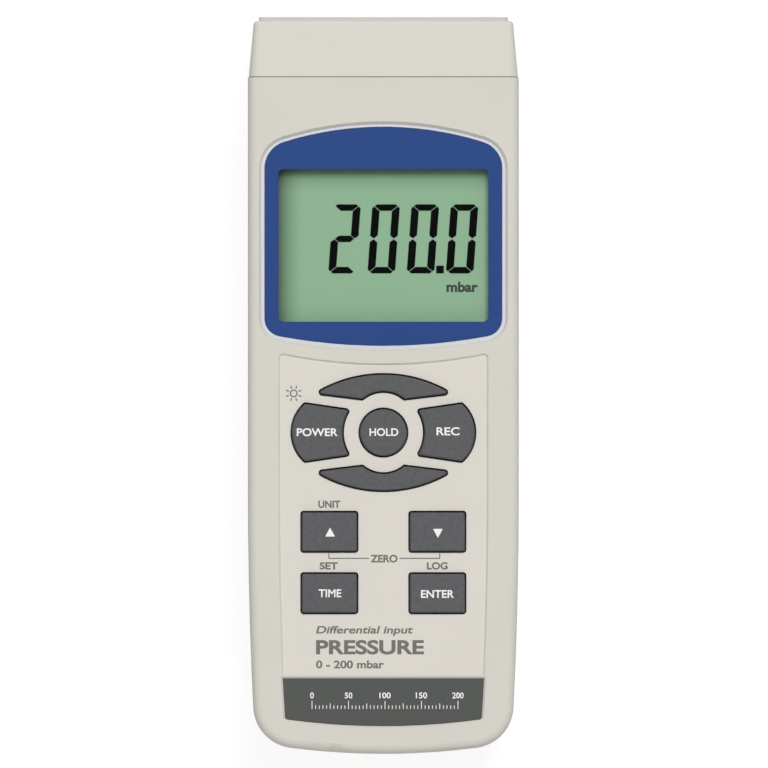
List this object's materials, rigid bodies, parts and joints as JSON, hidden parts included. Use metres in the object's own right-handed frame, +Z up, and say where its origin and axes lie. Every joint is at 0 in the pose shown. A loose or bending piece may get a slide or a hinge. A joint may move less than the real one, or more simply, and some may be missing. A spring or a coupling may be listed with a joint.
{
  "type": "digital manometer",
  "caption": "Handheld digital manometer with a liquid crystal display, a rubber keypad, hose spigots in the end cap and a folding tilt stand on the back.",
  "frame": {"origin": "middle of the bounding box in plan, on the plane that the meter's back rests on", "axes": "+Y along the meter to the end with the hose spigots, +Z up through the display and keys, +X to the right when reading the display"},
  "size_m": [0.0746, 0.203, 0.0386],
  "materials": {
    "casing": "warm off-white moulded plastic with a fine grain",
    "casing_cap": "warm off-white moulded plastic with a fine grain",
    "casing_cover": "warm off-white moulded plastic with a fine grain",
    "port_plate": "off-white moulded plastic",
    "port_brass": "nickel plate",
    "brass": "turned, plain",
    "steel": "zinc plate",
    "seal": "black rubber",
    "hose": "clear soft tubing",
    "sensor": "white moulded plastic",
    "bezel": "satin blue",
    "lens": "clear polished window",
    "inner_plastic": "grey moulded plastic",
    "lcd": "grey-green liquid crystal glass",
    "lcd_ink": "black liquid crystal strokes",
    "diffuser": "white diffuser",
    "board": "green solder mask",
    "chip": "black moulded package",
    "socket": "black moulded plastic",
    "overlay": "warm off-white film",
    "band": "dark grey film",
    "mat": "dark grey silicone",
    "key": "dark grey silicone, matt",
    "pill": "black carbon",
    "cell_jacket": "plain wrapped can",
    "contact": "nickel plate",
    "stand": "warm off-white moulded plastic"
  },
  "bodies": {
    "meter": {"front_shell": "casing", "rear_shell": "casing", "top_cap": "casing_cap", "port_plate": "port_plate", "port_plate_screws": "steel", "spigot_high": "port_brass", "spigot_low": "port_brass", "port_seals": "seal", "port_nuts": "port_brass", "hose_high": "hose", "hose_low": "hose", "pressure_sensor": "sensor", "display_bezel": "bezel", "display_lens": "lens", "lcd_frame": "inner_plastic", "lcd_glass": "lcd", "lcd_segments": "lcd_ink", "lcd_backlight": "diffuser", "zebra_strips": "seal", "main_board": "board", "board_screws": "steel", "board_chips": "chip", "card_socket": "steel", "serial_jack": "socket", "power_jack": "socket", "buzzer": "socket", "panel_overlay": "overlay", "name_band": "band", "keypad_mat": "mat", "battery_contacts": "contact", "battery_cover": "casing_cover", "cover_screws": "steel", "case_screws": "steel", "tripod_insert": "brass", "battery_cell_1": "cell_jacket", "battery_cell_2": "cell_jacket", "battery_cell_3": "cell_jacket", "battery_cell_4": "cell_jacket", "battery_cell_5": "cell_jacket", "battery_cell_6": "cell_jacket"},
    "key_hold": {"key_hold": "key", "pill_hold": "pill"},
    "key_crescent_upper": {"key_crescent_upper": "key", "pill_crescent_upper": "pill"},
    "key_crescent_lower": {"key_crescent_lower": "key", "pill_crescent_lower": "pill"},
    "key_power": {"key_power": "key", "pill_power": "pill"},
    "key_record": {"key_record": "key", "pill_record": "pill"},
    "key_up": {"key_up": "key", "pill_up": "pill"},
    "key_down": {"key_down": "key", "pill_down": "pill"},
    "key_time": {"key_time": "key", "pill_time": "pill"},
    "key_enter": {"key_enter": "key", "pill_enter": "pill"},
    "tilt_stand": {"tilt_stand": "stand"}
  },
  "joints": [
    {"name": "key_hold_press", "type": "slide", "parent": "meter", "child": "key_hold", "axis": [0, 0, -1], "range_m": [0, 0.0011], "stiffness_N_per_m": 300, "springref_m": -0.0006},
    {"name": "key_crescent_upper_press", "type": "slide", "parent": "meter", "child": "key_crescent_upper", "axis": [0, 0, -1], "range_m": [0, 0.0011], "stiffness_N_per_m": 300, "springref_m": -0.0006},
    {"name": "key_crescent_lower_press", "type": "slide", "parent": "meter", "child": "key_crescent_lower", "axis": [0, 0, -1], "range_m": [0, 0.0011], "stiffness_N_per_m": 300, "springref_m": -0.0006},
    {"name": "key_power_press", "type": "slide", "parent": "meter", "child": "key_power", "axis": [0, 0, -1], "range_m": [0, 0.0011], "stiffness_N_per_m": 300, "springref_m": -0.0006},
    {"name": "key_record_press", "type": "slide", "parent": "meter", "child": "key_record", "axis": [0, 0, -1], "range_m": [0, 0.0011], "stiffness_N_per_m": 300, "springref_m": -0.0006},
    {"name": "key_up_press", "type": "slide", "parent": "meter", "child": "key_up", "axis": [0, 0, -1], "range_m": [0, 0.0011], "stiffness_N_per_m": 300, "springref_m": -0.0006},
    {"name": "key_down_press", "type": "slide", "parent": "meter", "child": "key_down", "axis": [0, 0, -1], "range_m": [0, 0.0011], "stiffness_N_per_m": 300, "springref_m": -0.0006},
    {"name": "key_time_press", "type": "slide", "parent": "meter", "child": "key_time", "axis": [0, 0, -1], "range_m": [0, 0.0011], "stiffness_N_per_m": 300, "springref_m": -0.0006},
    {"name": "key_enter_press", "type": "slide", "parent": "meter", "child": "key_enter", "axis": [0, 0, -1], "range_m": [0, 0.0011], "stiffness_N_per_m": 300, "springref_m": -0.0006},
    {"name": "tilt_stand_hinge", "type": "hinge", "parent": "meter", "child": "tilt_stand", "pos_m": [0, 0.0748, 0.0023], "axis": [1, 0, 0], "range_deg": [0, 70]}
  ]
}
